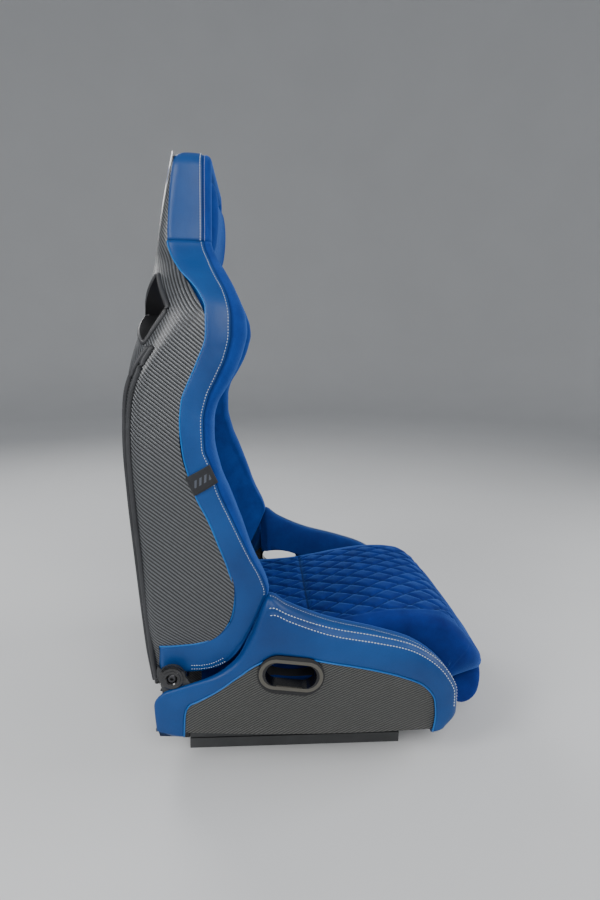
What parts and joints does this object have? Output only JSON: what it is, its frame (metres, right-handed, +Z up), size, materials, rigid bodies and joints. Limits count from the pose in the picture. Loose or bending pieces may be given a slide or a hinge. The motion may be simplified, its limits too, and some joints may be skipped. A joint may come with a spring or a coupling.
{
  "type": "racing seat",
  "caption": "Reclining bucket seat: hard back and base shells with leather bolsters, quilted cushion, harness and lap slots, on sliding floor rails.",
  "frame": {"origin": "centre of the four floor holes, on the underside of the lower rails", "axes": "+X forward, +Y to the seat's left, +Z up"},
  "size_m": [0.627, 0.5405, 0.98],
  "materials": {
    "bezel": "gloss, grey front ring",
    "black_plastic": "satin",
    "black_steel": "satin black",
    "bronze": "plain",
    "label": "woven black",
    "leather": "smooth blue",
    "rail_steel": "satin black",
    "rubber": "satin",
    "shell": "carbon twill under satin lacquer",
    "suede": "napped blue",
    "zinc_steel": "zinc plated"
  },
  "bodies": {
    "floor_rails": {"lower_rail_right": "rail_steel", "lower_rail_left": "rail_steel"},
    "seat_base": {"upper_rail_right": "rail_steel", "upper_rail_left": "rail_steel", "slide_glides": "black_plastic", "rail_end_caps": "black_plastic", "base_shell": "shell", "rail_spacers": "zinc_steel", "rail_bolts": "zinc_steel", "seat_cushion": "suede", "base_bolster_right": "leather", "base_bolster_left": "leather", "lap_bezel_right": "bezel", "lap_bezel_left": "bezel", "hinge_ear_right": "black_steel", "hinge_ear_left": "black_steel", "ear_screws": "zinc_steel", "hinge_cap_right": "black_plastic", "hinge_cap_left": "black_plastic", "pivot_bolt_right": "zinc_steel", "pivot_bolt_left": "zinc_steel", "pivot_nuts": "zinc_steel", "pivot_washers": "black_plastic", "upright_stops": "rubber", "shaft_bushes": "black_plastic", "latch_pins": "zinc_steel", "recline_spring_right": "zinc_steel", "recline_spring_left": "zinc_steel"},
    "recline_release": {"pawl_shaft": "zinc_steel", "recline_pawl_right": "zinc_steel", "recline_pawl_left": "zinc_steel", "recline_lever": "black_steel", "lever_grip": "black_plastic"},
    "slide_release": {"release_bar": "black_steel", "bar_grip": "black_plastic", "latch_lever_right": "black_steel", "latch_lever_left": "black_steel"},
    "backrest": {"back_shell": "shell", "back_bolster_right": "leather", "back_bolster_left": "leather", "back_pad": "suede", "headrest_pad": "suede", "headrest_band": "leather", "harness_bezel_right": "bezel", "harness_bezel_left": "bezel", "shell_edge_trim": "rubber", "side_tag": "label", "back_arm_right": "black_steel", "back_arm_left": "black_steel", "pivot_bush_right": "bronze", "pivot_bush_left": "bronze", "arm_screws": "zinc_steel"}
  },
  "joints": [
    {"name": "seat_slide", "type": "slide", "parent": "floor_rails", "child": "seat_base", "axis": [1, 0, 0], "range_m": [-0.09, 0.09]},
    {"name": "backrest_recline", "type": "hinge", "parent": "seat_base", "child": "backrest", "pos_m": [-0.204, 0, 0.165], "axis": [0, -1, 0], "range_deg": [0, 30]},
    {"name": "recline_lever_lift", "type": "hinge", "parent": "seat_base", "child": "recline_release", "pos_m": [-0.19229, 0, 0.12129], "axis": [0, -1, 0], "range_deg": [0, 12], "stiffness_Nm_per_rad": 3, "springref_deg": -20.05},
    {"name": "slide_bar_lift", "type": "hinge", "parent": "seat_base", "child": "slide_release", "pos_m": [0, 0, 0.029], "axis": [0, -1, 0], "range_deg": [0, 8], "stiffness_Nm_per_rad": 8, "springref_deg": -14.32}
  ]
}
